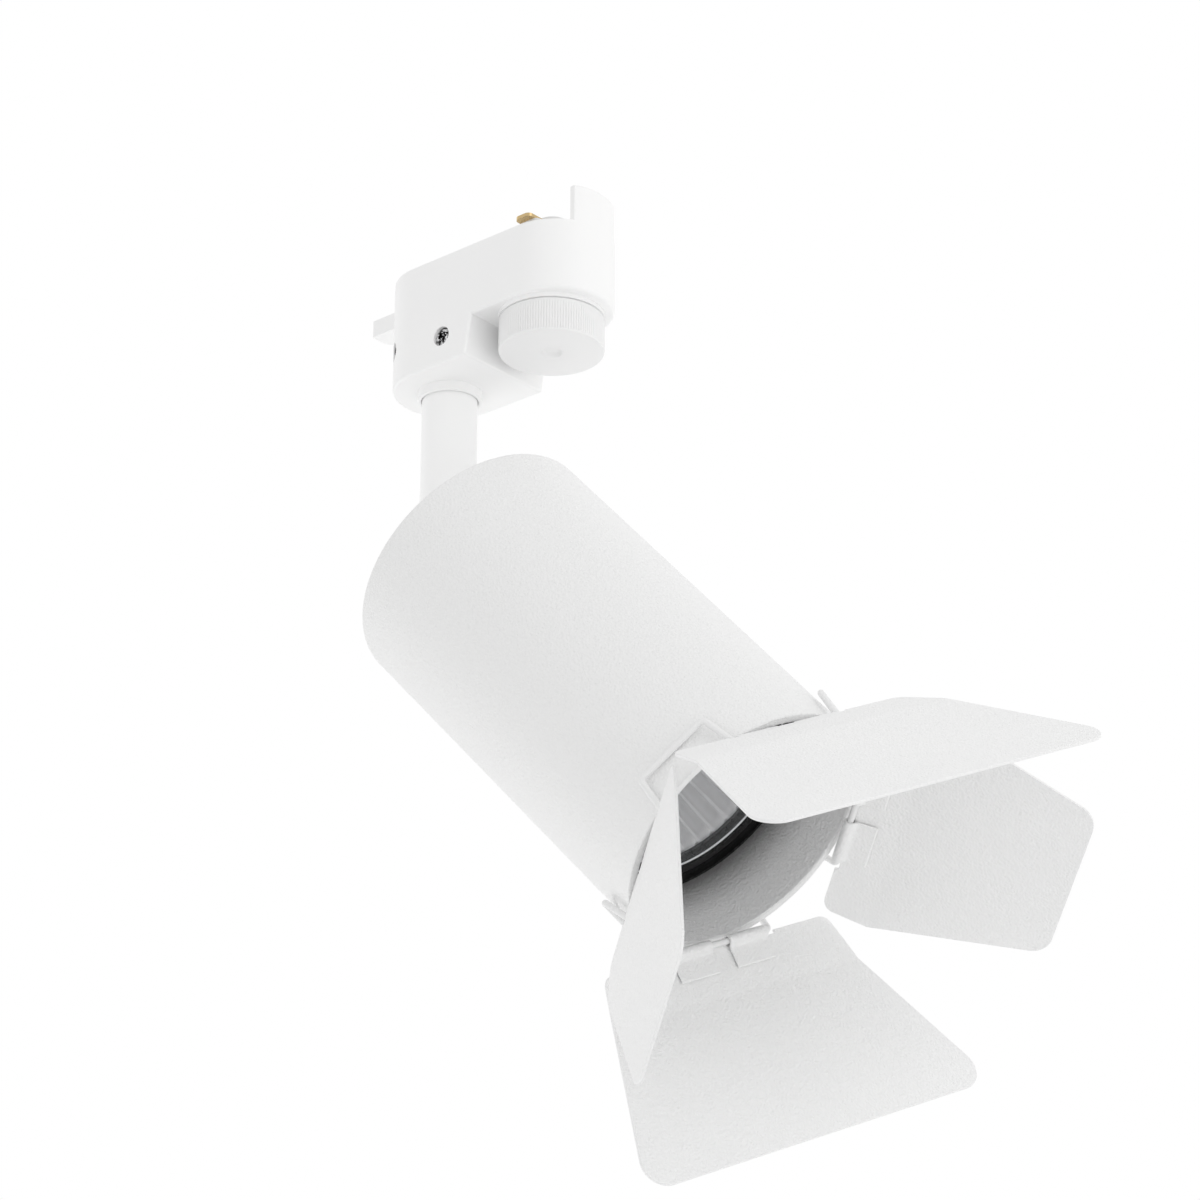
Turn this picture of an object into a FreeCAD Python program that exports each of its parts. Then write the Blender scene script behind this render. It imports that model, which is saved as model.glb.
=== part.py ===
import FreeCAD, Part
import math
import os

from FreeCAD import Matrix, Placement, Rotation, Vector

# Single-circuit track spotlight with a GU10 lamp and four barn doors.
# Millimetres, +Z up. The origin is the centre of the adapter's flat top face, which lies against
# the track. The adapter's long side runs along X, and the stem hangs from its -X end.

# ---- adapter ----
ADAPTER_R = 13.0          # half width, and radius of both rounded ends
END_X = 16.0              # centres of the rounded ends are at -END_X and +END_X
STEM_X = -END_X
BLOCK_BOTTOM = -26.8      # underside of the deep half that carries the stem
SHELF_BOTTOM = -17.2      # underside of the shallow half above the lock knob
STEP_X_LOW = 0.4          # step face between the halves, at the bottom
STEP_X_HIGH = 2.0         # and where it meets the shallow half
EDGE_R = 0.7
COVER_T = 1.2
WALL = 2.0
FLOOR_T = 2.2
OUTSIDE = 40.0            # larger than the adapter, for tools that cut right across it

# guide rib that stands in the track's slot, with the earth contact flush in its side
RIB_START = -28.0
RIB_END = 2.5
RIB_HALF_W = 4.0
RIB_TOP = 4.5
RIB_ROUND = 1.0
EARTH_START = -12.0
EARTH_END = -4.0
EARTH_BOTTOM = 1.2
EARTH_TOP = 3.4
EARTH_T = 0.8

# end guide that stands in the slot beyond the lock, flush with the rounded end
GUIDE_START = 25.9
GUIDE_HALF_W = 6.7
GUIDE_TOP = 9.0
GUIDE_ROUND = 0.4

# latch bar at the stem end
LATCH_TIP = -39.3
LATCH_ROOT = -21.0
LATCH_NEAR = -2.0
LATCH_FAR = 4.6
LATCH_BOTTOM = -5.5
LATCH_TOP = -1.4
LATCH_FAR_R = 3.0         # large corner at the far side of its tip
LATCH_ROUND = 0.5
LATCH_GAP = 0.05

# recessed screws in the side and in the stem end
SIDE_SCREW_R = 2.3
SIDE_SCREW_Z = -20.0
SIDE_SCREW_X = -6.8
END_SCREW_Z = -17.5
END_SCREW_TURN = 231.0    # direction of the screw in the rounded end
SIDE_SCREW_SUNK = 0.35
SIDE_SCREW_SEAT = 1.3
SIDE_SHANK_R = 1.3
SIDE_SHANK_END = 3.0
CROSS_HALF = 1.1

# terminal block and its leads
BLOCK_START = -7.0
BLOCK_END = 3.0
BLOCK_HALF_W = 7.5
BLOCK_TOP = -6.5
TERMINAL_X = -2.0
TERMINAL_Y = 3.6
TERMINAL_R = 1.6
TERMINAL_BOTTOM = -9.0
TERMINAL_TOP = -6.9
TERMINAL_SLOT_W = 0.5
TERMINAL_SLOT_D = 0.6
LEAD_Z = -11.5
LEAD_HOLE_R = 1.1
LEAD_R = 0.9
LEAD_BEND = 1.6
LEAD_DROP = -18.0
STEM_LEAD_Y = 1.4

# ---- lock lever ----
KNOB_X = 14.7
KNOB_R = 11.8
KNOB_BOTTOM = -26.3
KNOB_TOP = -18.5
KNOB_ROUND = 0.6
PAD_R = 12.0              # round pad under the shelf, just above the knob
PAD_BOTTOM = -18.2
DIMPLE_R = 2.4
DIMPLE_DEPTH = 0.9
SHAFT_R = 4.0
SHAFT_BOTTOM = KNOB_BOTTOM + 2.2
TURRET_R = 10.6           # round plate that fills the opening in the cover
TURRET_HOLE_R = 10.9
TURRET_BOTTOM = -2.0
TURRET_TOP = -0.15
LUG_HALF_W = 2.9          # lug that turns over the lips of the track
LUG_REACH = 8.5
LUG_ROUND = 1.2
LUG_BOTTOM = 2.6
BLADE_HALF_W = 2.2
BLADE_REACH = 10.4
BLADE_BOTTOM = 3.4
BLADE_T = 0.8
CROWN_TOP = 6.2
CLIP_R = 6.5
CLIP_GROOVE_R = 3.3
CLIP_BOTTOM = -14.9
CLIP_T = 0.8

# ---- stem and tilt pivot ----
STEM_R = 6.3
STEM_BORE_R = 4.5
STEM_TOP = -19.0
STEM_END = -48.35
BUSH_R = 7.0
COLLAR_R = 7.4
COLLAR_T = 2.2
COLLAR_ROUND = 0.4
NUT_R = 9.5
NUT_TOP = -20.0
NUT_T = 3.0
NUT_SLOT_HALF = 1.2
NUT_SLOT_Y = 7.5
WASHER_R = 9.2
WASHER_T = 0.8
PIVOT_Z = -62.8
TONGUE_HALF = 3.0
TONGUE_TOP = PIVOT_Z + 7.0
SPIGOT_LEN = 4.0
KNUCKLE_BORE_R = 2.7
KNUCKLE_EXIT_R = 2.2
EXIT_TOP = PIVOT_Z + 10.5
EXIT_DROP = 2.0
EAR_IN = 3.5
EAR_T = 2.0
EAR_R = 6.0
PIN_R = 2.0
RUNNING = 0.08            # radial clearance of every turning fit

# ---- head, along its own axis from the rear face ----
PAN_REST = 11.0           # degrees the head points away from +X
TILT_REST = 42.1          # degrees between the head's axis and straight down
HEAD_OFFSET = 11.2        # pivot to rear face
HEAD_R = 30.0
HEAD_IN_R = 28.0
HEAD_LEN = 100.0
REAR_ROUND = 0.8
RIM_ROUND = 0.25
CAP_Z = 0.8
CAP_T = 3.0
CAP_TOP = CAP_Z + CAP_T
FOOT_T = 2.0              # bracket foot behind the cap
FOOT_HALF_W = 6.0
FOOT_HALF_L = 14.0
BRACKET_SCREW_Y = 10.5
BRACKET_SCREW_R = 1.5
PAN_HEAD_R = 2.6
PAN_HEAD_T = 1.6
PIVOT_HEAD_R = 3.6
PIVOT_HEAD_T = 2.2
PIVOT_END = 3.0
SOCKET_R = 1.25
SOCKET_DEPTH = 1.4
PIVOT_NUT_R = 4.0
PIVOT_NUT_T = 2.8
PIVOT_WASHER_R = 5.4
GROMMET_X = -9.0
GROMMET_R = 4.0
GROMMET_FLANGE_R = 5.2
GROMMET_BORE_R = 2.6
GROMMET_LIP = 1.0
HEAD_LEAD_Y = 1.3

# ---- lampholder ----
STRAP_HALF_W = 6.0
STRAP_OUT = 20.5
STRAP_T = 1.2
STRAP_TOP = 14.0
FOOT_REACH = 6.0
FOOT_SCREW_Y = 17.5
FOOT_SCREW_R = 1.25
FOOT_HEAD_R = 1.7
FOOT_HEAD_T = 1.4
DECK_SCREW_Y = 8.5
DECK_SCREW_END = 18.0
HOLDER_R = 13.0
HOLDER_TOP = 32.0
HOLDER_ROUND = 1.5
PIN_Y = 5.0
PIN_WELL_R = 2.7
PIN_WELL_BOTTOM = 24.0
LAMP_PIN_R = 1.6
LAMP_FOOT_R = 2.4
LAMP_FOOT_BOTTOM = 25.0
LAMP_FOOT_TOP = 26.4

# ---- lamp ----
LAMP_BASE_Z = 32.4
LAMP_BASE_R = 8.2
NECK_R = 9.0
NECK_Z = 46.0
LAMP_FRONT = 82.6
LAMP_R = 25.0
BOWL_T = 1.6
BOWL_GAP = 0.2
BOWL_CURVE = 0.55         # exponent of the bowl's half profile
BOWL_STEPS = 10
BURNER_FOOT_R = 3.4
BURNER_R = 5.0
BURNER_START = 50.0
BURNER_END = 66.0
GLASS_R = 23.4
GLASS_BACK = 2.2
GLASS_FRONT = 0.6
GASKET_IN_R = 22.4
GASKET_R = 25.4
GASKET_BACK = 3.0
GASKET_CHAMFER = 0.5
RING_LIP_R = 27.3
RING_LIP = 0.4
RING_FACE = 0.8

# ---- barn-door frame: one bent wire ----
FRAME_REST = 35.7         # degrees the frame is turned about the head's axis
WIRE_R = 0.7
PIN_RADIUS = 28.0         # hinge runs, from the head's axis
PIN_AHEAD = 1.9           # and ahead of the front rim
PIN_HALF = 13.9
CLIP_RADIUS = 31.0
CLIP_BACK = 6.7
CLIP_HALF = 8.7
WIRE_BEND = 1.2

# ---- leaves, measured from the hinge pin along the sheet ----
SHEET_T = 0.7
KNUCKLE_R = 1.3
KNUCKLE_GAP_HALF = 2.4
KNUCKLE_LEN = 10.5
TAB_END = 6.2
TAB_ROUND = 0.8
HINGE_EDGE = 0.9          # keeps clear of the wire's legs beside the knuckles
MIDDLE_EDGE = 0.2         # the sheet comes closer to the pin between the knuckles
OUTER_EDGE = 0.1          # and beyond the wire's legs
LEG_SPACE = 15.6
HINGE_CORNER_R = 3.0
TIP_CORNER_R = 5.0
WIDE = {"bend_at": 11.3, "length": 47.0, "hinge": 30.3, "fold": 33.5, "tip": 47.5, "bend": -11.0}
SLIM = {"bend_at": 10.6, "length": 48.3, "hinge": 26.4, "fold": 27.9, "tip": 18.2, "bend": -6.0}
LEAVES = {
    "leaf_top": (0.0, 30.9, WIDE),
    "leaf_right": (-90.0, 43.5, SLIM),
    "leaf_bottom": (180.0, 28.0, WIDE),
    "leaf_left": (90.0, 37.5, SLIM),
}

PAST = 1.0                # how far a cutting tool runs past the face that it opens


# ---------------------------------------------------------------- helpers
def save(name, shape):
    shape.exportStep("parts/%s.step" % name)
    print("%-18s %d solid(s) %9.1f mm3" % (name, len(shape.Solids), shape.Volume))


def cyl(r, z0, z1, x=0.0, y=0.0):
    return Part.makeCylinder(r, z1 - z0, Vector(x, y, z0))


def ring(r_out, r_in, z0, z1, x=0.0, y=0.0):
    return cyl(r_out, z0, z1, x, y).cut(cyl(r_in, z0 - PAST, z1 + PAST, x, y))


def box(x0, x1, y0, y1, z0, z1):
    return Part.makeBox(x1 - x0, y1 - y0, z1 - z0, Vector(x0, y0, z0))


def rod(r, start, end):
    along = end - start
    return Part.makeCylinder(r, along.Length, start, along)


def direction(angle):
    """Unit vector in the XY plane at that many degrees from X."""
    return Vector(math.cos(math.radians(angle)), math.sin(math.radians(angle)), 0)


def stadium(r, z0, z1):
    """Round-ended prism about X between the two end centres."""
    right = [Vector(END_X, -r, z0), Vector(END_X + r, 0, z0), Vector(END_X, r, z0)]
    left = [Vector(-END_X, r, z0), Vector(-END_X - r, 0, z0), Vector(-END_X, -r, z0)]
    edges = [
        Part.Arc(*right).toShape(),
        Part.LineSegment(right[2], left[0]).toShape(),
        Part.Arc(*left).toShape(),
        Part.LineSegment(left[2], right[0]).toShape(),
    ]
    return Part.Face(Part.Wire(edges)).extrude(Vector(0, 0, z1 - z0))


def prism(points, extent):
    return Part.Face(Part.makePolygon(points + points[:1])).extrude(extent)


def revolved(outline):
    """Solid of revolution about Z from (radius, z) points."""
    points = [Vector(r, 0, z) for r, z in outline]
    face = Part.Face(Part.makePolygon(points + points[:1]))
    return face.revolve(Vector(0, 0, 0), Vector(0, 0, 1), 360)


def round_edges(shape, radius, wanted):
    """Fillet the edges for which wanted(edge) is true."""
    return shape.makeFillet(radius, [edge for edge in shape.Edges if wanted(edge)])


def fused(shapes):
    return shapes[0].multiFuse(shapes[1:]).removeSplitter()


def frame_of(x_axis, y_axis, z_axis, origin):
    matrix = Matrix(
        x_axis.x, y_axis.x, z_axis.x, origin.x,
        x_axis.y, y_axis.y, z_axis.y, origin.y,
        x_axis.z, y_axis.z, z_axis.z, origin.z,
        0, 0, 0, 1)
    return Placement(matrix)


def placed(shape, placement):
    moved = shape.copy()
    moved.Placement = placement.multiply(moved.Placement)
    return moved


def corner_arc(before, here, after, radius):
    """Start, middle and end of the arc that rounds the corner at here."""
    into = (before - here).normalize()
    out = (after - here).normalize()
    half = into.getAngle(out) / 2
    back = radius / math.tan(half)
    middle = here + (into + out).normalize() * (radius / math.sin(half) - radius)
    return here + into * back, middle, here + out * back


def swept(points, bend, r):
    """Round rod along a polyline whose corners are tangent arcs of radius bend."""
    edges = []
    start = points[0]
    for before, here, after in zip(points, points[1:], points[2:]):
        arc = corner_arc(before, here, after, bend)
        edges.append(Part.LineSegment(start, arc[0]).toShape())
        edges.append(Part.Arc(*arc).toShape())
        start = arc[2]
    edges.append(Part.LineSegment(start, points[-1]).toShape())
    profile = Part.Wire(Part.makeCircle(r, points[0], points[1] - points[0]))
    return Part.Wire(edges).makePipeShell([profile], True, False)


def rounded_polygon(corners, z):
    """Closed wire through (x, y, radius) corners, each rounded by its own radius."""
    points = [Vector(x, y, z) for x, y, radius in corners]
    count = len(points)
    arcs = []
    for i, (x, y, radius) in enumerate(corners):
        arcs.append(corner_arc(points[i - 1], points[i], points[(i + 1) % count], radius))
    edges = []
    for i, arc in enumerate(arcs):
        if corners[i][2] > 0:
            edges.append(Part.Arc(*arc).toShape())
        edges.append(Part.LineSegment(arc[2], arcs[(i + 1) % count][0]).toShape())
    return Part.Wire(edges)


def hexagon(r):
    points = [direction(60 * i) * r for i in range(6)]
    return Part.Face(Part.makePolygon(points + points[:1]))


# ---------------------------------------------------------------- frames of reference
UP = Vector(0, 0, 1)
AHEAD = direction(PAN_REST)
TILT = math.radians(TILT_REST)
PIVOT = Vector(STEM_X, 0, PIVOT_Z)
HEAD_Z = AHEAD * math.sin(TILT) - UP * math.cos(TILT)
HEAD_Y = AHEAD.cross(UP)
HEAD_X = HEAD_Y.cross(HEAD_Z)
HEAD = frame_of(HEAD_X, HEAD_Y, HEAD_Z, PIVOT + HEAD_Z * HEAD_OFFSET)
STEM = frame_of(AHEAD, UP.cross(AHEAD), UP, Vector(STEM_X, 0, 0))


# ---------------------------------------------------------------- adapter
def stepped_block():
    """Adapter outside: a deep half for the stem and a shallow half over the knob."""
    side = [
        Vector(-OUTSIDE, -OUTSIDE, BLOCK_BOTTOM),
        Vector(STEP_X_LOW, -OUTSIDE, BLOCK_BOTTOM),
        Vector(STEP_X_HIGH, -OUTSIDE, SHELF_BOTTOM),
        Vector(OUTSIDE, -OUTSIDE, SHELF_BOTTOM),
        Vector(OUTSIDE, -OUTSIDE, -COVER_T),
        Vector(-OUTSIDE, -OUTSIDE, -COVER_T),
    ]
    block = stadium(ADAPTER_R, BLOCK_BOTTOM, -COVER_T)
    return block.common(prism(side, Vector(0, 2 * OUTSIDE, 0)))


def is_soft_edge(edge):
    """Lower edges are rounded, apart from the inside corner above the step face."""
    centre = edge.CenterOfMass
    straight = edge.Curve.TypeId == "Part::GeomLine"
    shelf_root = straight and abs(centre.x - STEP_X_HIGH) < 0.01 and abs(centre.y) < 1
    return centre.z < SHELF_BOTTOM + 0.01 and not shelf_root


def adapter_housing():
    body = round_edges(stepped_block(), EDGE_R, is_soft_edge)
    body = body.fuse(cyl(PAD_R, PAD_BOTTOM, SHELF_BOTTOM + WALL / 2, KNOB_X))
    inner_r = ADAPTER_R - WALL
    deep = stadium(inner_r, BLOCK_BOTTOM + FLOOR_T, -COVER_T)
    body = body.cut(deep.common(box(-OUTSIDE, STEP_X_LOW - WALL, -OUTSIDE, OUTSIDE, BLOCK_BOTTOM, 0)))
    body = body.cut(stadium(inner_r, SHELF_BOTTOM + WALL, -COVER_T))
    body = body.cut(cyl(BUSH_R, BLOCK_BOTTOM - PAST, BLOCK_BOTTOM + FLOOR_T + PAST, STEM_X))
    body = body.cut(cyl(SHAFT_R + RUNNING, PAD_BOTTOM - PAST, SHELF_BOTTOM + WALL + PAST, KNOB_X))
    near = LATCH_NEAR - LATCH_GAP
    far = LATCH_FAR + LATCH_GAP
    body = body.cut(box(-OUTSIDE, LATCH_ROOT + PAST, near, far, LATCH_BOTTOM - LATCH_GAP, -COVER_T))
    for start, inward in side_screw_places():
        body = body.cut(rod(SIDE_SCREW_R, start - inward, start + inward * SIDE_SCREW_SEAT))
        body = body.cut(rod(SIDE_SHANK_R, start, start + inward * SIDE_SHANK_END))
    return body


def side_screw_places():
    """Surface point and inward direction of the screws in the long side and the rounded end."""
    outward = direction(END_SCREW_TURN)
    on_end = Vector(STEM_X, 0, END_SCREW_Z) + outward * ADAPTER_R
    on_side = Vector(SIDE_SCREW_X, -ADAPTER_R, SIDE_SCREW_Z)
    return [(on_side, Vector(0, 1, 0)), (on_end, outward * -1)]


def side_screws():
    screws = []
    for start, inward in side_screw_places():
        top = start + inward * SIDE_SCREW_SUNK
        seat = start + inward * SIDE_SCREW_SEAT
        head = rod(SIDE_SCREW_R - 0.15, top, seat)
        screw = fused([head, rod(SIDE_SHANK_R, seat, start + inward * SIDE_SHANK_END)])
        for arm in (inward.cross(UP), UP):
            screw = screw.cut(rod(0.3, top - arm * CROSS_HALF, top + arm * CROSS_HALF))
        screws.append(screw)
    return Part.makeCompound(screws)


def adapter_cover():
    plate = stadium(ADAPTER_R, -COVER_T, 0)
    plate = plate.cut(cyl(TURRET_HOLE_R, -COVER_T - PAST, PAST, KNOB_X))
    plate = plate.cut(box(RIB_START, RIB_END, -RIB_HALF_W, RIB_HALF_W, -COVER_T - PAST, PAST))
    return fused([plate, end_guide()])


def end_guide():
    guide = stadium(ADAPTER_R, -COVER_T, GUIDE_TOP)
    guide = guide.common(box(GUIDE_START, OUTSIDE, -GUIDE_HALF_W, GUIDE_HALF_W, -COVER_T, GUIDE_TOP))
    return round_edges(guide, GUIDE_ROUND, lambda edge: edge.CenterOfMass.z > GUIDE_TOP - 0.01)


def track_guide():
    rib = box(RIB_START, RIB_END, -RIB_HALF_W, RIB_HALF_W, -COVER_T, RIB_TOP)
    rib = round_edges(rib, RIB_ROUND, lambda edge: edge.CenterOfMass.z > RIB_TOP - 0.01)
    return rib.cut(earth_contact())


def earth_contact():
    return box(EARTH_START, EARTH_END, -RIB_HALF_W, -RIB_HALF_W + EARTH_T, EARTH_BOTTOM, EARTH_TOP)


def end_latch():
    bar = box(LATCH_TIP, LATCH_ROOT, LATCH_NEAR, LATCH_FAR, LATCH_BOTTOM, LATCH_TOP)
    mid_z = (LATCH_BOTTOM + LATCH_TOP) / 2

    def at_tip(edge, y):
        centre = edge.CenterOfMass
        return centre.x < LATCH_TIP + 0.1 and abs(centre.y - y) < 0.1 and abs(centre.z - mid_z) < 0.1

    bar = round_edges(bar, LATCH_FAR_R, lambda edge: at_tip(edge, LATCH_FAR))
    return round_edges(bar, LATCH_ROUND, lambda edge: at_tip(edge, LATCH_NEAR))


def stem_collar():
    low = BLOCK_BOTTOM - COLLAR_T

    def outer_low(edge):
        return edge.CenterOfMass.z < low + 0.01 and edge.Curve.Radius > COLLAR_R - 0.1

    flange = round_edges(ring(COLLAR_R, STEM_R + RUNNING, low, BLOCK_BOTTOM, STEM_X), COLLAR_ROUND, outer_low)
    sleeve = ring(BUSH_R, STEM_R + RUNNING, BLOCK_BOTTOM, BLOCK_BOTTOM + 2.8, STEM_X)
    return fused([flange, sleeve])


def terminal_block():
    block = box(BLOCK_START, BLOCK_END, -BLOCK_HALF_W, BLOCK_HALF_W, SHELF_BOTTOM + WALL, BLOCK_TOP)
    for y in (-TERMINAL_Y, TERMINAL_Y):
        block = block.cut(cyl(TERMINAL_R, TERMINAL_BOTTOM, BLOCK_TOP + PAST, TERMINAL_X, y))
        way_in = Vector(BLOCK_START - PAST, y, LEAD_Z)
        way_out = Vector(BLOCK_END + PAST, y, LEAD_Z)
        lead_way = rod(LEAD_HOLE_R, way_in, way_out)
        block = block.cut(lead_way)
    return block


def terminal_screws():
    screws = []
    for y in (-TERMINAL_Y, TERMINAL_Y):
        screw = cyl(TERMINAL_R, TERMINAL_BOTTOM, TERMINAL_TOP, TERMINAL_X, y)
        slot_z = TERMINAL_TOP - TERMINAL_SLOT_D
        slot_half = TERMINAL_SLOT_W / 2
        slot = box(TERMINAL_X - 2, TERMINAL_X + 2, y - slot_half, y + slot_half, slot_z, TERMINAL_TOP + PAST)
        screws.append(screw.cut(slot))
    return Part.makeCompound(screws)


def adapter_wires():
    wires = []
    for side in (-1, 1):
        y = side * TERMINAL_Y
        y_end = side * STEM_LEAD_Y
        route = [
            Vector(BLOCK_START, y, LEAD_Z),
            Vector(BLOCK_START - 4.5, y, LEAD_Z),
            Vector(STEM_X, y_end, LEAD_Z - 0.5),
            Vector(STEM_X, y_end, LEAD_DROP),
        ]
        wires.append(swept(route, LEAD_BEND, LEAD_R))
    return Part.makeCompound(wires)


# ---------------------------------------------------------------- lock lever
def lock_knob():
    knob = round_edges(cyl(KNOB_R, KNOB_BOTTOM, KNOB_TOP, KNOB_X), KNOB_ROUND, lambda edge: True)
    knob = knob.cut(cyl(DIMPLE_R, KNOB_BOTTOM - PAST, KNOB_BOTTOM + DIMPLE_DEPTH, KNOB_X))
    return knob.cut(cyl(SHAFT_R, SHAFT_BOTTOM, KNOB_TOP + PAST, KNOB_X))


def lock_shaft():
    shaft = cyl(SHAFT_R, SHAFT_BOTTOM, TURRET_BOTTOM, KNOB_X)
    return shaft.cut(ring(SHAFT_R + PAST, CLIP_GROOVE_R, CLIP_BOTTOM, CLIP_BOTTOM + CLIP_T, KNOB_X))


def lock_clip():
    clip = ring(CLIP_R, CLIP_GROOVE_R, CLIP_BOTTOM, CLIP_BOTTOM + CLIP_T, KNOB_X)
    mouth = box(KNOB_X - 2.4, KNOB_X + 2.4, 0, CLIP_R + PAST, CLIP_BOTTOM - PAST, CLIP_BOTTOM + CLIP_T + PAST)
    return clip.cut(mouth)


def lock_cam():
    """Turret plate, neck, crossways lug and crown, all turning with the knob."""
    turret = cyl(TURRET_R, TURRET_BOTTOM, TURRET_TOP, KNOB_X)
    neck = cyl(SHAFT_R, TURRET_TOP, BLADE_BOTTOM, KNOB_X)
    lug = box(KNOB_X - LUG_HALF_W, KNOB_X + LUG_HALF_W, -LUG_REACH, LUG_REACH, LUG_BOTTOM, BLADE_BOTTOM)

    def at_side(edge):
        return abs(abs(edge.CenterOfMass.y) - LUG_REACH) < 0.01 and is_upright(edge)

    lug = round_edges(lug, LUG_ROUND, at_side)
    crown = cyl(SHAFT_R, BLADE_BOTTOM, CROWN_TOP, KNOB_X)
    crown = round_edges(crown, 0.8, lambda edge: edge.CenterOfMass.z > CROWN_TOP - 0.1)
    return fused([turret, neck, lug, crown])


def is_upright(edge):
    return edge.BoundBox.ZLength > 0.99 * edge.Length


def line_contacts():
    blades = []
    for side in (1, -1):
        near, far = sorted((side * SHAFT_R, side * BLADE_REACH))
        top = BLADE_BOTTOM + BLADE_T
        blade = box(KNOB_X - BLADE_HALF_W, KNOB_X + BLADE_HALF_W, near, far, BLADE_BOTTOM, top)
        blade = round_edges(blade, 1.2, lambda edge: abs(abs(edge.CenterOfMass.y) - BLADE_REACH) < 0.01
                            and is_upright(edge))
        blades.append(blade.cut(cyl(SHAFT_R, BLADE_BOTTOM - PAST, top + PAST, KNOB_X)))
    return Part.makeCompound(blades)


# ---------------------------------------------------------------- stem
def stem_tube():
    return ring(STEM_R, STEM_BORE_R, STEM_END, STEM_TOP, STEM_X)


def stem_nut():
    nut = ring(NUT_R, STEM_R, NUT_TOP - NUT_T, NUT_TOP, STEM_X)
    key_start, key_end = STEM_X - NUT_SLOT_HALF, STEM_X + NUT_SLOT_HALF
    key = box(key_start, key_end, NUT_SLOT_Y, NUT_R + PAST, NUT_TOP - NUT_T - PAST, NUT_TOP + PAST)
    return nut.cut(key)


def stem_washer():
    top = NUT_TOP - NUT_T
    return ring(WASHER_R, STEM_R, top - WASHER_T, top, STEM_X)


def stem_knuckle():
    """Solid end of the stem, flattened to a tongue round the pivot, bored for the lead."""
    tongue_room = box(-STEM_R, STEM_R, -TONGUE_HALF, TONGUE_HALF, PIVOT_Z - STEM_R, TONGUE_TOP)
    upper = cyl(STEM_R, TONGUE_TOP, STEM_END)
    eye = rod(STEM_R, Vector(0, -OUTSIDE, PIVOT_Z), Vector(0, OUTSIDE, PIVOT_Z))
    tongue = cyl(STEM_R, PIVOT_Z - STEM_R, STEM_END).common(tongue_room)
    tip = tongue.common(eye)
    shank = tongue.common(box(-STEM_R, STEM_R, -STEM_R, STEM_R, PIVOT_Z, TONGUE_TOP))
    spigot = cyl(STEM_BORE_R, STEM_END, STEM_END + SPIGOT_LEN)
    knuckle = fused([upper, shank, tip, spigot])
    knuckle = knuckle.cut(cyl(KNUCKLE_BORE_R, TONGUE_TOP + 1.0, STEM_END + SPIGOT_LEN + PAST))
    lead_exit = rod(KNUCKLE_EXIT_R, Vector(0, 0, EXIT_TOP), Vector(-STEM_R - PAST, 0, EXIT_TOP - EXIT_DROP))
    knuckle = knuckle.cut(lead_exit)
    bore = rod(PIN_R + RUNNING, Vector(0, -OUTSIDE, PIVOT_Z), Vector(0, OUTSIDE, PIVOT_Z))
    return placed(knuckle.cut(bore), STEM)


def stem_wires():
    wires = [cyl(LEAD_R, EXIT_TOP - 1.0, STEM_TOP - 0.5, 0, y) for y in (-STEM_LEAD_Y, STEM_LEAD_Y)]
    return placed(Part.makeCompound(wires), STEM)


# ---------------------------------------------------------------- head, built along its own +Z
def head_tube():
    tube = ring(HEAD_R, HEAD_IN_R, 0, HEAD_LEN)

    def outer_rear(edge):
        return edge.CenterOfMass.z < 0.01 and edge.Curve.Radius > HEAD_R - 0.1

    def at_rim(edge):
        return edge.CenterOfMass.z > HEAD_LEN - 0.01 and hasattr(edge.Curve, "Radius")

    return round_edges(round_edges(tube, REAR_ROUND, outer_rear), RIM_ROUND, at_rim)


def rear_cap():
    cap = cyl(HEAD_IN_R, CAP_Z, CAP_TOP)
    cap = cap.cut(cyl(GROMMET_R, CAP_Z - PAST, CAP_TOP + PAST, GROMMET_X, 0))
    for y, r in ((BRACKET_SCREW_Y, BRACKET_SCREW_R), (FOOT_SCREW_Y, FOOT_SCREW_R)):
        for side in (-1, 1):
            cap = cap.cut(cyl(r, CAP_Z - PAST, CAP_TOP + PAST, 0, side * y))
    return cap


def across_pivot(r, y0, y1):
    return rod(r, Vector(0, y0, -HEAD_OFFSET), Vector(0, y1, -HEAD_OFFSET))


def pivot_bracket():
    foot = box(-FOOT_HALF_W, FOOT_HALF_W, -FOOT_HALF_L, FOOT_HALF_L, CAP_Z - FOOT_T, CAP_Z)
    for y in (-BRACKET_SCREW_Y, BRACKET_SCREW_Y):
        foot = foot.cut(cyl(BRACKET_SCREW_R, CAP_Z - FOOT_T - PAST, CAP_Z + PAST, 0, y))
    parts = [foot]
    for y in (EAR_IN, -EAR_IN - EAR_T):
        parts.append(box(-EAR_R, EAR_R, y, y + EAR_T, -HEAD_OFFSET, CAP_Z - FOOT_T))
        parts.append(across_pivot(EAR_R, y, y + EAR_T))
    return fused(parts).cut(across_pivot(PIN_R, -OUTSIDE, OUTSIDE))


def bracket_screws():
    seat = CAP_Z - FOOT_T
    top = seat - PAN_HEAD_T
    screws = []
    for y in (-BRACKET_SCREW_Y, BRACKET_SCREW_Y):
        screw = fused([cyl(BRACKET_SCREW_R, seat, CAP_TOP, 0, y), cyl(PAN_HEAD_R, top, seat, 0, y)])
        screw = screw.cut(box(-2, 2, y - 0.3, y + 0.3, top - PAST, top + 0.6))
        screws.append(screw.cut(box(-0.3, 0.3, y - 2, y + 2, top - PAST, top + 0.6)))
    return Part.makeCompound(screws)


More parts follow.
